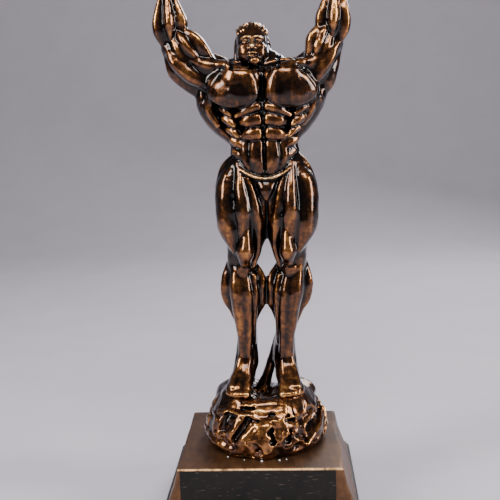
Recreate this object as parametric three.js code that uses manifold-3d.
// Figure trophy: a cast-resin physique figure with both arms raised, standing on a boulder that a
// threaded stud clamps to a hollow two-tier plinth.
// Units are millimetres. +Z is up, the figure faces -Y, and its own left side is +X. The origin is the
// centre of the plinth's footprint, on the surface that the felt pads stand on.
import * as THREE from "three";
import { mergeVertices } from "three/addons/utils/BufferGeometryUtils.js";
import Module from "manifold-3d";

// ---------------------------------------------------------------------------------------------
// Driving dimensions
// ---------------------------------------------------------------------------------------------
const GAP = 0.3; // clearance round a piece that sits in another
const SEAT = 0.05; // clearance under a flat face that rests on another
const SURFACE_TOLERANCE = 0.35; // how far the figure's faceted surface may stray from its muscles
const ROUND_SIDES = 12; // sides of a faceted round pin or hole

// Felt pads and bottom board
const PAD = { radius: 7, thickness: 2, inset: 14 };
const BOARD = { thickness: 3, margin: 5 };
const BOARD_SCREW = { radius: 1.6, headRadius: 3.2, headHeight: 1.6, length: 11, inset: 9 };

// Lower tier of the plinth
const STEP = { side: 106, height: 16, wall: 4, ceiling: 4, edge: 2, corner: 3 };
const REGISTER = { height: 3, wall: 3 }; // raised lip that locates the upper tier

// Upper tier of the plinth: an upright face above a hollow moulding that flares to the lower tier
const BLOCK = { side: 88, face: 19, cove: 5, coveReach: 7, wall: 4.5, ceiling: 5, edge: 1, corner: 1.5, draft: 0.6 };
const BLOCK_SCREW = { radius: 1.8, headRadius: 3.6, headHeight: 2.4, grip: 10, inset: 15, bossRadius: 5 };

// Name plate on the upright face
const PLATE = { width: 82, height: 17, thickness: 1, recess: 2, sideways: -1.3, pad: 0.5, padMargin: 2 };

// Stud that clamps the boulder to the plinth, with its nuts and washers
const STUD = { radius: 3, embed: 20, tail: 4 };
const NUT = { acrossFlats: 10, height: 5 };
const WASHER = { radius: 9, thickness: 1.6 };
const SPRING_WASHER = { radius: 5.2, thickness: 1.8, slit: 1.2 };
const TURN_PIN = { radius: 1.5, length: 9, offset: 20 };

// Ballast cast into the lower tier
const BALLAST = { side: 70, headroom: 2.95, wellRadius: 12 };

// Figure. Its anatomy is sculpted at SCULPT_HEIGHT, in a frame whose origin is on the plinth's top face.
const FIGURE_HEIGHT = 262;
const SCULPT_HEIGHT = 262;
const BOULDER = { width: 68, depth: 67, height: 29.5 };
const SHOULDER_PIN = { radius: 2.2, length: 15 };
const NECK_PIN = { radius: 1.8, length: 12 };
const WAIST_KEY = { side: 8, length: 16 };
const LEG_ROD = { radius: 1.5, length: 34, embed: 14 };

// ---------------------------------------------------------------------------------------------
// Derived levels
// ---------------------------------------------------------------------------------------------
const boardBottom = PAD.thickness;
const stepBottom = boardBottom;
const stepTop = stepBottom + STEP.height;
const blockBottom = stepTop + SEAT;
const blockTop = blockBottom + BLOCK.cove + BLOCK.face;
const blockUnderside = blockTop - BLOCK.ceiling;
const figureScale = FIGURE_HEIGHT / SCULPT_HEIGHT;
const figureBase = blockTop + SEAT;

// ---------------------------------------------------------------------------------------------
// Joining and cutting
// ---------------------------------------------------------------------------------------------
const wasm = await Module();
wasm.setup();

/** A closed geometry as a manifold solid. */
function solid(geometry) {
  const bare = geometry.index ? geometry.toNonIndexed() : geometry.clone();
  bare.deleteAttribute("normal");
  bare.deleteAttribute("uv");
  const merged = mergeVertices(bare, 1e-4);
  return new wasm.Manifold(
    new wasm.Mesh({
      numProp: 3,
      vertProperties: merged.attributes.position.array,
      triVerts: new Uint32Array(merged.index.array),
    }),
  );
}

/** A manifold solid as a geometry with flat faces. */
function geometryOf(manifold) {
  const { numProp, vertProperties, triVerts } = manifold.getMesh();
  const positions = new Float32Array((vertProperties.length / numProp) * 3);
  for (let i = 0; i < positions.length / 3; i++) {
    positions.set(vertProperties.subarray(i * numProp, i * numProp + 3), i * 3);
  }
  const geometry = new THREE.BufferGeometry()
    .setAttribute("position", new THREE.BufferAttribute(positions, 3))
    .setIndex(new THREE.BufferAttribute(triVerts, 1))
    .toNonIndexed();
  geometry.computeVertexNormals();
  return geometry;
}

const union = (geometries) => geometries.map(solid).reduce((sum, next) => sum.add(next));
const cut = (body, ...tools) => tools.reduce((left, tool) => left.subtract(solid(tool)), body);

// ---------------------------------------------------------------------------------------------
// Shapes
// ---------------------------------------------------------------------------------------------
const vec = (x, y, z) => new THREE.Vector3(x, y, z);

/** A box given by its size and centre. */
function box(width, depth, height, centre) {
  return new THREE.BoxGeometry(width, depth, height).translate(centre.x, centre.y, centre.z);
}

/** A prism or cylinder that stands on +Z, from z = low to z = high. */
function post(radius, low, high, x = 0, y = 0, sides = ROUND_SIDES, topRadius = radius) {
  return new THREE.CylinderGeometry(topRadius, radius, high - low, sides)
    .rotateX(Math.PI / 2)
    .translate(x, y, (low + high) / 2);
}

/** The turn that takes +Z to a direction, with local +Y towards facing as nearly as it can be. */
function orientation(direction, facing) {
  const z = direction.clone().normalize();
  const y = facing.clone().addScaledVector(z, -facing.dot(z)).normalize();
  const x = new THREE.Vector3().crossVectors(y, z);
  return new THREE.Matrix4().makeBasis(x, y, z);
}

/** A round pin from one point to another. */
function pin(from, to, radius, sides = ROUND_SIDES) {
  const along = to.clone().sub(from);
  const middle = from.clone().add(to).multiplyScalar(0.5);
  const side = Math.abs(along.y) < 0.9 * along.length() ? vec(0, -1, 0) : vec(1, 0, 0);
  return new THREE.CylinderGeometry(radius, radius, along.length(), sides)
    .rotateX(Math.PI / 2)
    .applyMatrix4(orientation(along, side))
    .translate(middle.x, middle.y, middle.z);
}

/** A solid through rings that all have the same number of points, closed by a fan at each end. */
function loft(rings) {
  const count = rings[0].length;
  const centre = (ring) =>
    ring.reduce((sum, point) => sum.add(point), vec(0, 0, 0)).divideScalar(count);
  const points = [centre(rings[0]), ...rings.flat(), centre(rings.at(-1))];
  const last = points.length - 1;
  const index = [];
  for (let i = 0; i < count; i++) {
    const j = (i + 1) % count;
    index.push(0, 1 + j, 1 + i, last, last - count + i, last - count + j);
    for (let ring = 0; ring < rings.length - 1; ring++) {
      const low = 1 + ring * count;
      const high = low + count;
      index.push(low + i, low + j, high + j, low + i, high + j, high + i);
    }
  }
  return new THREE.BufferGeometry().setFromPoints(points).setIndex(index);
}

/** The outline of a square with rounded corners, at a height, as a ring for loft(). */
function squareRing(side, corner, z) {
  const half = side / 2;
  const inner = half - corner;
  const shape = new THREE.Shape();
  [[1, 1], [-1, 1], [-1, -1], [1, -1]].forEach(([sx, sy], quarter) => {
    const start = (quarter * Math.PI) / 2;
    shape.absarc(sx * inner, sy * inner, corner, start, start + Math.PI / 2, false);
  });
  return shape.getPoints(3).slice(0, -1).map((p) => vec(p.x, p.y, z));
}

/** A hexagonal nut with its hole, from z = low upwards. */
function nutSolid(low) {
  const cornerRadius = NUT.acrossFlats / Math.sqrt(3);
  const body = solid(post(cornerRadius, low, low + NUT.height, 0, 0, 6));
  return cut(body, post(STUD.radius + GAP, low - 1, low + NUT.height + 1));
}

/** The four places at one distance in from each corner of a square. */
function cornerPlaces(side, inset) {
  const reach = side / 2 - inset;
  return [[-1, -1], [1, -1], [1, 1], [-1, 1]].map(([sx, sy]) => [sx * reach, sy * reach]);
}

// ---------------------------------------------------------------------------------------------
// Materials
// ---------------------------------------------------------------------------------------------
const material = (color, roughness, metalness) =>
  new THREE.MeshStandardMaterial({ color, roughness, metalness });
const antiqueBronze = material(0x7a4a22, 0.3, 0.85);
const plinthBronze = material(0x6e4a2c, 0.5, 0.4);
const blackLacquer = material(0x1b1917, 0.45, 0);
const zincSteel = material(0xb4b6b8, 0.4, 0.9);
const gypsum = material(0xd9d4c8, 0.9, 0);
const hardboard = material(0x6b4a30, 0.8, 0);
const felt = material(0x20242a, 1, 0);
const adhesive = material(0xe6e2d6, 0.7, 0);

const trophy = new THREE.Group();

/** Adds a named piece to a group, from a geometry or a manifold solid. */
function place(group, name, shape, finish) {
  const geometry = shape.isBufferGeometry ? shape : geometryOf(shape);
  const mesh = new THREE.Mesh(geometry, finish);
  mesh.name = name;
  group.add(mesh);
}

// ---------------------------------------------------------------------------------------------
// Plinth
// ---------------------------------------------------------------------------------------------
const cavitySide = STEP.side - 2 * STEP.wall;
const boardSide = STEP.side - 2 * BOARD.margin;
const blockFootSide = BLOCK.side + 2 * (BLOCK.coveReach + BLOCK.draft);
const blockCavitySide = BLOCK.side - 2 * BLOCK.wall;
const registerSide = blockCavitySide - 2 * GAP;
const registerTop = stepTop + REGISTER.height;
const boardTop = boardBottom + BOARD.thickness;
const stepCeiling = stepTop - STEP.ceiling;
const screwHeadBottom = stepCeiling - SEAT - BLOCK_SCREW.headHeight;

/** Lower tier: an open-bottomed box with a rebate for the board and a lip that enters the block. */
function plinthStep() {
  const rim = (side, z) => squareRing(side, STEP.corner, z);
  const shell = union([
    loft([
      rim(STEP.side, stepBottom),
      rim(STEP.side, stepTop - STEP.edge),
      rim(STEP.side - STEP.edge, stepTop - STEP.edge * 0.3),
      rim(STEP.side - 2 * STEP.edge, stepTop),
    ]),
    loft([rim(registerSide, stepTop - 1), rim(registerSide, registerTop)]),
  ]);
  const bosses = cornerPlaces(STEP.side, BOARD_SCREW.inset + STEP.wall).map(([x, y]) =>
    post(BOARD_SCREW.headRadius + 1.5, boardTop + SEAT, stepTop - 1, x, y),
  );
  const hollow = cut(
    shell,
    box(boardSide + 2 * GAP, boardSide + 2 * GAP, 2 * (boardTop + SEAT), vec(0, 0, 0)),
    box(cavitySide, cavitySide, 2 * stepCeiling, vec(0, 0, 0)),
    box(
      registerSide - 2 * REGISTER.wall,
      registerSide - 2 * REGISTER.wall,
      REGISTER.height,
      vec(0, 0, stepTop + REGISTER.height / 2),
    ),
    post(BALLAST.wellRadius, stepBottom, registerTop + 1),
    ...cornerPlaces(BLOCK.side, BLOCK_SCREW.inset).map(([x, y]) =>
      post(BLOCK_SCREW.radius + GAP, stepBottom, registerTop + 1, x, y),
    ),
  );
  const screwHoles = cornerPlaces(STEP.side, BOARD_SCREW.inset + STEP.wall).map(([x, y]) =>
    post(BOARD_SCREW.radius + GAP, stepBottom, boardBottom + BOARD_SCREW.length + GAP, x, y),
  );
  return cut(hollow.add(union(bosses)), ...screwHoles);
}

/** Upper tier: an upright face over a cove, hollow below, with a shallow recess for the plate. */
function plinthBlock() {
  const arcSteps = 4;
  const cove = Array.from({ length: arcSteps + 1 }, (_, i) => {
    const turn = (i / arcSteps) * (Math.PI / 2);
    const reach = BLOCK.coveReach * (1 - Math.sin(turn));
    const rise = BLOCK.cove * (1 - Math.cos(turn));
    return squareRing(BLOCK.side + 2 * (reach + BLOCK.draft), BLOCK.corner, blockBottom + 1 + rise);
  });
  const shell = solid(
    loft([
      squareRing(blockFootSide, BLOCK.corner, blockBottom),
      ...cove,
      squareRing(BLOCK.side, BLOCK.corner, blockTop - BLOCK.edge),
      squareRing(BLOCK.side - 2 * BLOCK.edge, BLOCK.corner, blockTop),
    ]),
  );
  const cavity = box(
    blockCavitySide,
    blockCavitySide,
    blockUnderside - blockBottom + 1,
    vec(0, 0, (blockUnderside + blockBottom - 1) / 2),
  );
  const bosses = cornerPlaces(BLOCK.side, BLOCK_SCREW.inset).map(([x, y]) =>
    post(BLOCK_SCREW.bossRadius, registerTop + GAP, blockTop - 1, x, y),
  );
  const hollow = cut(shell, cavity).add(union(bosses));
  const { width, height, recess, sideways } = PLATE;
  return cut(
    hollow,
    box(
      width + 2 * GAP,
      2 * recess,
      height + 2 * GAP,
      vec(sideways, -plateSeat(), plateCentre()),
    ),
    post(STUD.radius + GAP, blockUnderside - 1, blockTop + 1),
    ...turnPinPlaces().map((x) =>
      post(TURN_PIN.radius + GAP, figureBase - TURN_PIN.length / 2 - GAP, blockTop + 1, x, 0),
    ),
    ...cornerPlaces(BLOCK.side, BLOCK_SCREW.inset).map(([x, y]) =>
      post(BLOCK_SCREW.radius + GAP, stepTop, screwTip() + GAP, x, y),
    ),
  );
}

const screwTip = () => registerTop + BLOCK_SCREW.grip;
const plateSeat = () => BLOCK.side / 2;
const plateCentre = () => blockTop - BLOCK.face / 2;
const turnPinPlaces = () => [-TURN_PIN.offset, TURN_PIN.offset];

/** The plate and the adhesive pad behind it, in the recess of the upright face. */
function platePieces() {
  const { width, height, thickness, recess, sideways, pad, padMargin } = PLATE;
  const padFront = -plateSeat() + recess - GAP - pad;
  const plateBack = padFront - GAP;
  const plateY = plateBack - thickness / 2;
  return {
    plate: box(width, thickness, height, vec(sideways, plateY, plateCentre())),
    pad: box(
      width - 2 * padMargin,
      pad,
      height - 2 * padMargin,
      vec(sideways, padFront + pad / 2, plateCentre()),
    ),
  };
}

/** A pan-head screw that points up, turned from its outline, with its head's base at headBottom. */
function screw(spec, x, y, headBottom, tip) {
  const neck = headBottom + spec.headHeight;
  const outline = [
    [0, headBottom],
    [spec.headRadius, headBottom],
    [spec.headRadius, neck],
    [spec.radius, neck],
    [spec.radius, tip - spec.radius],
    [spec.radius * 0.4, tip],
    [0, tip],
  ].map(([radius, z]) => new THREE.Vector2(radius, z));
  return new THREE.LatheGeometry(outline, ROUND_SIDES).rotateX(Math.PI / 2).translate(x, y, 0);
}

function addPlinth() {
  const group = new THREE.Group();
  place(group, "plinth_step", plinthStep(), blackLacquer);
  place(group, "plinth_block", plinthBlock(), plinthBronze);
  const { plate, pad } = platePieces();
  place(group, "name_plate", plate, blackLacquer);
  place(group, "plate_adhesive", pad, adhesive);

  const board = cut(
    solid(box(boardSide, boardSide, BOARD.thickness, vec(0, 0, boardBottom + BOARD.thickness / 2))),
    ...cornerPlaces(STEP.side, BOARD_SCREW.inset + STEP.wall).flatMap(([x, y]) => [
      post(BOARD_SCREW.radius + GAP, 0, boardTop + 1, x, y),
      post(
        BOARD_SCREW.headRadius + GAP,
        boardBottom - 1,
        boardBottom + BOARD_SCREW.headHeight + SEAT,
        x,
        y,
      ),
    ]),
  );
  place(group, "bottom_board", board, hardboard);

  const ballastBottom = boardTop + SEAT;
  const ballastHeight = stepCeiling - BALLAST.headroom - ballastBottom;
  const ballast = cut(
    solid(
      box(BALLAST.side, BALLAST.side, ballastHeight, vec(0, 0, ballastBottom + ballastHeight / 2)),
    ),
    post(BALLAST.wellRadius, 0, stepTop),
    ...cornerPlaces(BLOCK.side, BLOCK_SCREW.inset).map(([x, y]) =>
      post(BLOCK_SCREW.headRadius + 1, 0, stepTop, x, y),
    ),
  );
  place(group, "ballast", ballast, gypsum);

  const corners = ["front_right", "front_left", "rear_left", "rear_right"];
  cornerPlaces(STEP.side, BOARD_SCREW.inset + STEP.wall).forEach(([x, y], i) => {
    const shape = screw(BOARD_SCREW, x, y, boardBottom, boardBottom + BOARD_SCREW.length);
    place(group, `board_screw_${corners[i]}`, shape, zincSteel);
  });
  cornerPlaces(BLOCK.side, BLOCK_SCREW.inset).forEach(([x, y], i) => {
    const shape = screw(BLOCK_SCREW, x, y, screwHeadBottom, screwTip());
    place(group, `block_screw_${corners[i]}`, shape, zincSteel);
  });
  cornerPlaces(boardSide, PAD.inset + PAD.radius).forEach(([x, y], i) => {
    place(group, `felt_pad_${corners[i]}`, post(PAD.radius, 0, PAD.thickness - SEAT, x, y), felt);
  });
  return group;
}

// ---------------------------------------------------------------------------------------------
// Stud, nuts, washers and turn pins
// ---------------------------------------------------------------------------------------------
const washerTop = blockUnderside - SEAT;
const springTop = washerTop - WASHER.thickness - SEAT;
const nutTop = springTop - SPRING_WASHER.thickness - SEAT;
const studTop = figureBase + STUD.embed;
const studBottom = nutTop - NUT.height - STUD.tail;
const anchorBottom = studTop - NUT.height - 3;

function addFastening() {
  const group = new THREE.Group();
  place(group, "fixing_stud", post(STUD.radius, studBottom, studTop), zincSteel);
  place(group, "anchor_nut", nutSolid(anchorBottom), zincSteel);
  place(group, "fixing_nut", nutSolid(nutTop - NUT.height), zincSteel);
  const ring = (radius, thickness, top) =>
    cut(
      solid(post(radius, top - thickness, top, 0, 0, 24)),
      post(STUD.radius + GAP, top - thickness - 1, top + 1),
    );
  place(group, "flat_washer", ring(WASHER.radius, WASHER.thickness, washerTop), zincSteel);
  const split = cut(
    ring(SPRING_WASHER.radius, SPRING_WASHER.thickness, springTop),
    box(SPRING_WASHER.radius * 2, SPRING_WASHER.slit, 10, vec(SPRING_WASHER.radius, 0, springTop)),
  );
  place(group, "spring_washer", split, zincSteel);
  turnPinPlaces().forEach((x, i) => {
    const half = TURN_PIN.length / 2;
    const shape = post(TURN_PIN.radius, figureBase - half, figureBase + half, x, 0);
    place(group, `turn_pin_${i ? "left" : "right"}`, shape, zincSteel);
  });
  return group;
}

// ---------------------------------------------------------------------------------------------
// Figure: skeleton and muscles, sculpted for the left half and mirrored
// ---------------------------------------------------------------------------------------------
/** The spine, sideways from the plinth's centre, by height: it leans to the figure's left. */
const SPINE = [[0, 1.3], [30, 2.6], [130, 6.1], [165, 5.4], [203, 5], [213, 0.8], [262, 0.2]];
const CHEST_LEVEL = 203;

function spineAt(z) {
  const above = SPINE.findIndex(([level]) => level >= z);
  if (above <= 0) return SPINE.at(above)[1];
  const [lowZ, low] = SPINE[above - 1];
  const [highZ, high] = SPINE[above];
  return low + ((high - low) * (z - lowZ)) / (highZ - lowZ);
}

/** How far a place is carried sideways: the chest goes with the spine, the raised arms stay. */
function lean(x, z) {
  const share = (value) => THREE.MathUtils.clamp(value, 0, 1);
  const middle = spineAt(z);
  const chest = spineAt(Math.min(z, CHEST_LEVEL));
  const outward = share((Math.abs(x) - 12) / 6);
  const raised = share((Math.abs(x) - 24) / 12) * share((z - 196) / 8);
  return (middle + (chest - middle) * outward) * (1 - raised);
}

/** A sculpt point on one side (+1 left, -1 right, 0 neither) in the trophy's frame. */
function at(side, [x, y, z]) {
  const mirrored = side === 0 ? x : side * x;
  return vec(mirrored + lean(x, z), y, z).multiplyScalar(figureScale).add(vec(0, 0, figureBase));
}

/**
 * A muscle belly between two points: an ellipsoid with half width and half depth, a little longer
 * than the span. A positive swell fattens the far end, as in a teardrop.
 */
function belly(side, from, to, halfWidth, halfDepth, swell = 0, facing = [0, -1, 0]) {
  const a = at(side, from);
  const b = at(side, to);
  const along = b.clone().sub(a);
  const shape = new THREE.SphereGeometry(1, 9, 6).rotateX(Math.PI / 2);
  const position = shape.attributes.position;
  for (let i = 0; i < position.count; i++) {
    const grow = 1 + swell * position.getZ(i);
    position.setXY(i, position.getX(i) * grow, position.getY(i) * grow);
  }
  const outward = vec(side < 0 ? -facing[0] : facing[0], facing[1], facing[2]);
  const middle = a.add(b).multiplyScalar(0.5);
  return shape
    .scale(halfWidth * figureScale, halfDepth * figureScale, along.length() / 2)
    .applyMatrix4(orientation(along, outward))
    .translate(middle.x, middle.y, middle.z);
}

/** A tapered bone-and-flesh core with round ends, turned about the line between two points. */
function core(side, from, to, fromRadius, toRadius) {
  const a = at(side, from);
  const b = at(side, to);
  const along = b.clone().sub(a);
  const [r0, r1] = [fromRadius * figureScale, toRadius * figureScale];
  const length = along.length();
  const profile = new THREE.Path();
  profile.absarc(0, 0, r0, -Math.PI / 2, 0, false);
  profile.absarc(0, length, r1, 0, Math.PI / 2, false);
  return new THREE.LatheGeometry(profile.getPoints(4), 12)
    .rotateX(Math.PI / 2)
    .applyMatrix4(orientation(along, vec(0, -1, 0)))
    .translate(a.x, a.y, a.z);
}

/** Muscle lists: [from, to, half width, half depth, swell, facing]. */
const LEG = [
  [[12, -5, 154], [14, -6, 106], 5.2, 6.5, 0.1], // rectus femoris
  [[17, 0, 157], [19.5, -3, 103], 8.2, 9.5, 0.1], // vastus lateralis
  [[8.5, -4, 132], [9.5, -6, 103], 4.8, 6, 0.35], // vastus medialis
  [[5.2, 1, 154], [6, 1, 110], 6.6, 9.5, 0], // adductors
  [[17, 8, 150], [17.5, 6, 98], 5.5, 6.5, 0], // biceps femoris
  [[8.5, 9, 150], [9.5, 6, 98], 5.5, 6.5, 0], // semitendinosus
  [[10, 9, 162], [11, 9, 136], 10.5, 9.5, 0.1], // gluteus maximus
  [[15, 3, 160], [19, 2, 141], 4.6, 8, 0.2], // gluteus medius
  [[14, -4, 106], [14, -4.5, 97], 4.2, 4, 0], // kneecap
  [[18.5, 5, 101], [16, 6, 66], 5.6, 7, -0.25], // outer calf
  [[6.2, 5, 101], [8.6, 6, 62], 7.4, 7.5, -0.25], // inner calf
  [[14, -2, 99], [13, -1, 54], 5.5, 5, -0.2], // shin muscle
  [[11.5, 5, 84], [11, 7, 44], 6.4, 5, -0.3], // soleus
  [[11, 12, 34], [11.5, -2, 34.5], 5.4, 5.2, 0], // heel
  [[11, 6, 36], [15, -20, 32], 6, 5.2, 0], // instep
  [[12.5, -11, 32], [16, -22, 31.5], 7.4, 2.8, 0, [0, 0, 1]], // toes
];
const STRUT = [[-0.6, 7, 28], [8.6, 8, 66], 3, 1.8]; // props the left ankle from behind
const LEG_CORES = [
  [[11.5, 1, 149], [13.8, 0, 104], 10.5, 7],
  [[13.8, 0.5, 103], [11, 3, 41], 6.6, 4.4],
];
const TORSO = [
  [[12, -2, 178], [12.2, -1, 152], 4.4, 8.5, 0], // external oblique
  [[28, 6, 211], [14, 6, 167], 8, 8, -0.25, [0.6, 1, 0]], // latissimus
  [[13, -7, 210.5], [13, -9, 187], 12.8, 9, 0], // pectoralis
  [[5, 10, 206], [4.5, 9, 156], 4.6, 5, 0], // spinal erector
  [[10, 11, 212], [18, 10, 190], 8, 5.5, 0, [0.3, 1, 0]], // shoulder blade
  [[2, 7, 212], [23, 4, 205.5], 5, 5, 0, [0, 0, 1]], // trapezius
  [[4.6, -10, 187], [4.6, -10.5, 178], 4.3, 3.6, 0], // abdominal row 1
  [[4.6, -9.8, 178.5], [4.6, -10, 170], 4.2, 3.4, 0], // abdominal row 2
  [[4.4, -9, 171], [4.2, -8.6, 161], 4.2, 3.4, 0], // abdominal row 3
  [[5, -7, 163], [2.5, -7, 146], 4.6, 4.6, 0], // lower abdomen
  [[15, -6, 189], [11, -10, 184], 3.2, 3.4, 0], // serratus, upper
  [[15.5, -5.5, 183], [11, -9, 177], 3.2, 3.4, 0], // serratus, middle
  [[14.5, -5, 177], [10.5, -8.5, 171], 3, 3.2, 0], // serratus, lower
];
const ARM = [
  [[19, 1, 199], [33, 1, 213], 8.6, 10.5, 0], // deltoid
  [[23.5, -3, 207.5], [37, -2, 227], 6.6, 6.6, 0.15], // biceps
  [[25, 3, 194], [44, 4, 219], 6.6, 8, 0.1], // triceps
  [[36, 2, 214], [44, 1, 223], 6.2, 7, 0], // elbow
  [[45.5, -1, 219], [46.5, -1, 246], 5.8, 6.4, -0.3], // outer forearm
  [[39, -2, 220], [42, -2, 247], 5.6, 6.4, -0.3], // inner forearm
];
const ARM_CORES = [
  [[23, 1, 201], [41, 2, 219], 8.2, 6],
  [[42, 1, 221], [44, -1, 250], 5.6, 4.2],
];
const FIST = [
  [[44, -1, 248], [44, -1.5, 262], 6.6, 6, 0], // palm
  [[38.5, -6, 258.5], [49.5, -6, 258.5], 3, 3.2, 0], // upper knuckles
  [[38.5, -6.5, 253.5], [49.5, -6.5, 253.5], 3, 3, 0], // lower finger joints
  [[39, -3, 250], [41, -8, 256.5], 2.4, 2.4, 0], // thumb
];
const HEAD = [
  [[0, 10, 223], [0, -4, 226], 9.2, 8.6, 0], // skull
  [[0, 3, 219], [0, -7.5, 214], 7.2, 6.6, 0], // jaw
  [[0, -7, 224], [0, -9.5, 219], 1.8, 2.2, 0.3], // nose
  [[0, 5, 233], [0, 7, 206], 11.6, 6.5, 0.1], // hair, down to the nape
];
const NECK_CORE = [[0, 5, 204], [0, 3, 218], 10, 8];

/** The boulder: stacked rings whose radius swells and dips round the circle. */
function boulder() {
  const levels = [
    [0, 0.93], [3, 0.985], [8, 1], [14, 0.97], [20, 0.9], [25.5, 0.82], [BOULDER.height, 0.72],
  ];
  const around = 28;
  const rings = levels.map(([z, share]) =>
    Array.from({ length: around }, (_, i) => {
      const turn = (i / around) * 2 * Math.PI;
      const lumps = 0.035 * Math.sin(5 * turn + z / 4) + 0.02 * Math.sin(9 * turn - z / 3);
      const reach = (share + lumps * (z > 0 && z < BOULDER.height ? 1 : 0.4)) * figureScale;
      const x = (Math.cos(turn) * BOULDER.width) / 2;
      const y = (Math.sin(turn) * BOULDER.depth) / 2;
      return vec(x * reach + spineAt(0) * figureScale, y * reach, z * figureScale + figureBase);
    }),
  );
  return solid(loft(rings));
}

/** Where one casting ends and the next begins: a point on each seam and its outward direction. */
const HEAD_SPACE = 32; // width of the space round the neck and head that the arms stay out of
const seams = {
  waist: { point: [0, 0, 158], normal: [0, 0, 1] },
  neck: { point: [0, 4, 211], normal: [0, -0.25, 1] },
  shoulder: { point: [23.5, 1, 203], normal: [0.8, 0, 0.6] },
};

/** A block of space that starts at a seam, half a gap out, and runs along the seam's normal. */
function beyond(side, seam, width) {
  const size = 120 * figureScale;
  const normal = vec(side < 0 ? -seam.normal[0] : seam.normal[0], seam.normal[1], seam.normal[2]);
  const centre = at(side, seam.point).addScaledVector(normal.clone().normalize(), size / 2 + GAP / 2);
  return new THREE.BoxGeometry(width * figureScale, width * figureScale, size)
    .applyMatrix4(orientation(normal, vec(0, -1, 0)))
    .translate(centre.x, centre.y, centre.z);
}

/** A pin laid across a seam, half of its length on each side. */
function seamPin(side, seam, { radius, length }, extra = 0) {
  const normal = vec(side < 0 ? -seam.normal[0] : seam.normal[0], seam.normal[1], seam.normal[2]);
  const half = normal.normalize().multiplyScalar(length / 2 + extra);
  const middle = at(side, seam.point);
  return pin(middle.clone().sub(half), middle.clone().add(half), radius + extra);
}

function waistKey(extra = 0) {
  const side = WAIST_KEY.side + 2 * extra;
  return box(side, side, WAIST_KEY.length + 2 * extra, at(0, seams.waist.point));
}

/** A rod from inside the boulder up through the foot into the shin. */
function legRod(side, extra = 0) {
  const ankle = at(side, [11, 3, 41]);
  const knee = at(side, [13.8, 0.5, 103]);
  const along = knee.clone().sub(ankle).normalize();
  const sole = figureBase + BOULDER.height * figureScale;
  const start = ankle.clone().addScaledVector(along, (sole - LEG_ROD.embed - ankle.z) / along.z);
  const end = start.clone().addScaledVector(along, LEG_ROD.length);
  start.addScaledVector(along, -extra);
  end.addScaledVector(along, extra);
  return pin(start, end, LEG_ROD.radius + extra);
}

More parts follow.
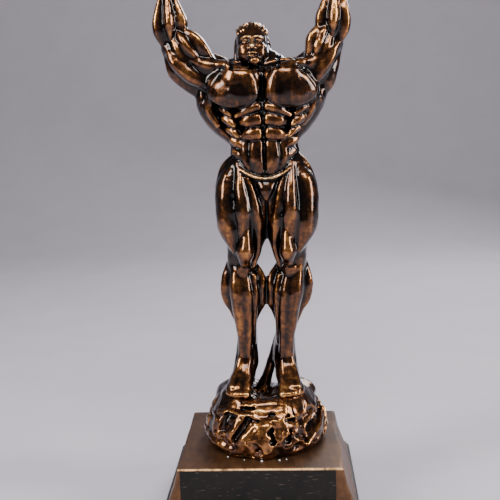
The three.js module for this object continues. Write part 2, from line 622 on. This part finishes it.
function addFigure() {
  const group = new THREE.Group();
  const both = [1, -1];
  const bellies = (list, sides = both) =>
    sides.flatMap((side) => list.map((muscle) => belly(side, ...muscle)));
  const cores = (list) => both.flatMap((side) => list.map((bone) => core(side, ...bone)));
  const whole = union([
    belly(0, [0, 2, 161], [0, 2, 132], 17, 12), // pelvis
    belly(0, [0, -6, 150], [0, -9, 134], 6, 5), // front of the briefs
    belly(0, [0, 0, 186], [0, 0, 142], 14.6, 10.8), // waist
    belly(0, [0, 1, 215], [0, 1, 167], 20.5, 14, 0.1), // ribcage
    ...bellies([...LEG, ...TORSO, ...ARM, ...FIST]),
    ...bellies(HEAD, [0]),
    ...cores([...LEG_CORES, ...ARM_CORES]),
    core(0, ...NECK_CORE),
    core(1, ...STRUT),
  ])
    .asOriginal()
    .simplify(SURFACE_TOLERANCE);

  const sole = figureBase + BOULDER.height * figureScale + SEAT;
  const reach = 400 * figureScale;
  const ground = box(reach, reach, reach, vec(0, 0, sole - reach / 2));
  const aboveWaist = beyond(0, seams.waist, 130);
  const belowWaist = cut(
    solid(box(reach, reach, reach, at(0, seams.waist.point).add(vec(0, 0, -GAP / 2 - reach / 2)))),
    ground,
  );
  const headSpace = beyond(0, seams.neck, HEAD_SPACE);
  const armSpace = (side) => cut(solid(beyond(side, seams.shoulder, 130)), headRoom());

  const upper = whole.intersect(solid(aboveWaist));
  const seamCut = (side, seam, width) => {
    const slab = beyond(side, seam, width);
    const normal = vec(side < 0 ? -seam.normal[0] : seam.normal[0], seam.normal[1], seam.normal[2]);
    return slab.translate(...normal.normalize().multiplyScalar(-GAP).toArray());
  };
  const torso = upper
    .subtract(solid(seamCut(0, seams.neck, HEAD_SPACE + GAP)))
    .subtract(cut(solid(seamCut(1, seams.shoulder, 130)), headRoom(-GAP)))
    .subtract(cut(solid(seamCut(-1, seams.shoulder, 130)), headRoom(-GAP)));

  const castings = {
    lower_body: cut(whole.intersect(belowWaist), waistKey(GAP), legRod(1, GAP), legRod(-1, GAP)),
    upper_torso: cut(
      largest(torso),
      waistKey(GAP),
      seamPin(0, seams.neck, NECK_PIN, GAP),
      seamPin(1, seams.shoulder, SHOULDER_PIN, GAP),
      seamPin(-1, seams.shoulder, SHOULDER_PIN, GAP),
    ),
    head: cut(largest(upper.intersect(solid(headSpace))), seamPin(0, seams.neck, NECK_PIN, GAP)),
    left_arm: cut(largest(upper.intersect(armSpace(1))), seamPin(1, seams.shoulder, SHOULDER_PIN, GAP)),
    right_arm: cut(
      largest(upper.intersect(armSpace(-1))),
      seamPin(-1, seams.shoulder, SHOULDER_PIN, GAP),
    ),
    rock: cut(
      boulder(),
      post(STUD.radius + GAP, figureBase - 1, studTop + GAP),
      post(NUT.acrossFlats / Math.sqrt(3) + GAP, anchorBottom - GAP, anchorBottom + NUT.height + GAP, 0, 0, 6),
      legRod(1, GAP),
      legRod(-1, GAP),
      ...turnPinPlaces().map((x) =>
        post(TURN_PIN.radius + GAP, figureBase - 1, figureBase + TURN_PIN.length / 2 + GAP, x, 0),
      ),
    ),
  };
  for (const [name, shape] of Object.entries(castings)) place(group, name, shape, antiqueBronze);

  place(group, "waist_key", waistKey(), antiqueBronze);
  place(group, "neck_pin", seamPin(0, seams.neck, NECK_PIN), zincSteel);
  place(group, "shoulder_pin_left", seamPin(1, seams.shoulder, SHOULDER_PIN), zincSteel);
  place(group, "shoulder_pin_right", seamPin(-1, seams.shoulder, SHOULDER_PIN), zincSteel);
  place(group, "leg_rod_left", legRod(1), zincSteel);
  place(group, "leg_rod_right", legRod(-1), zincSteel);
  return group;
}

/** The space round the head and neck, which the arms' cutting blocks leave alone. */
function headRoom(extra = 0) {
  const middle = at(0, seams.neck.point);
  const width = HEAD_SPACE * figureScale + 2 * (GAP + extra);
  return box(width, 80 * figureScale, 80 * figureScale, middle);
}

/** The largest separate body of a solid. */
const largest = (shape) =>
  shape.decompose().reduce((best, next) => (next.volume() > best.volume() ? next : best));

trophy.add(addPlinth(), addFastening(), addFigure());

export default trophy;
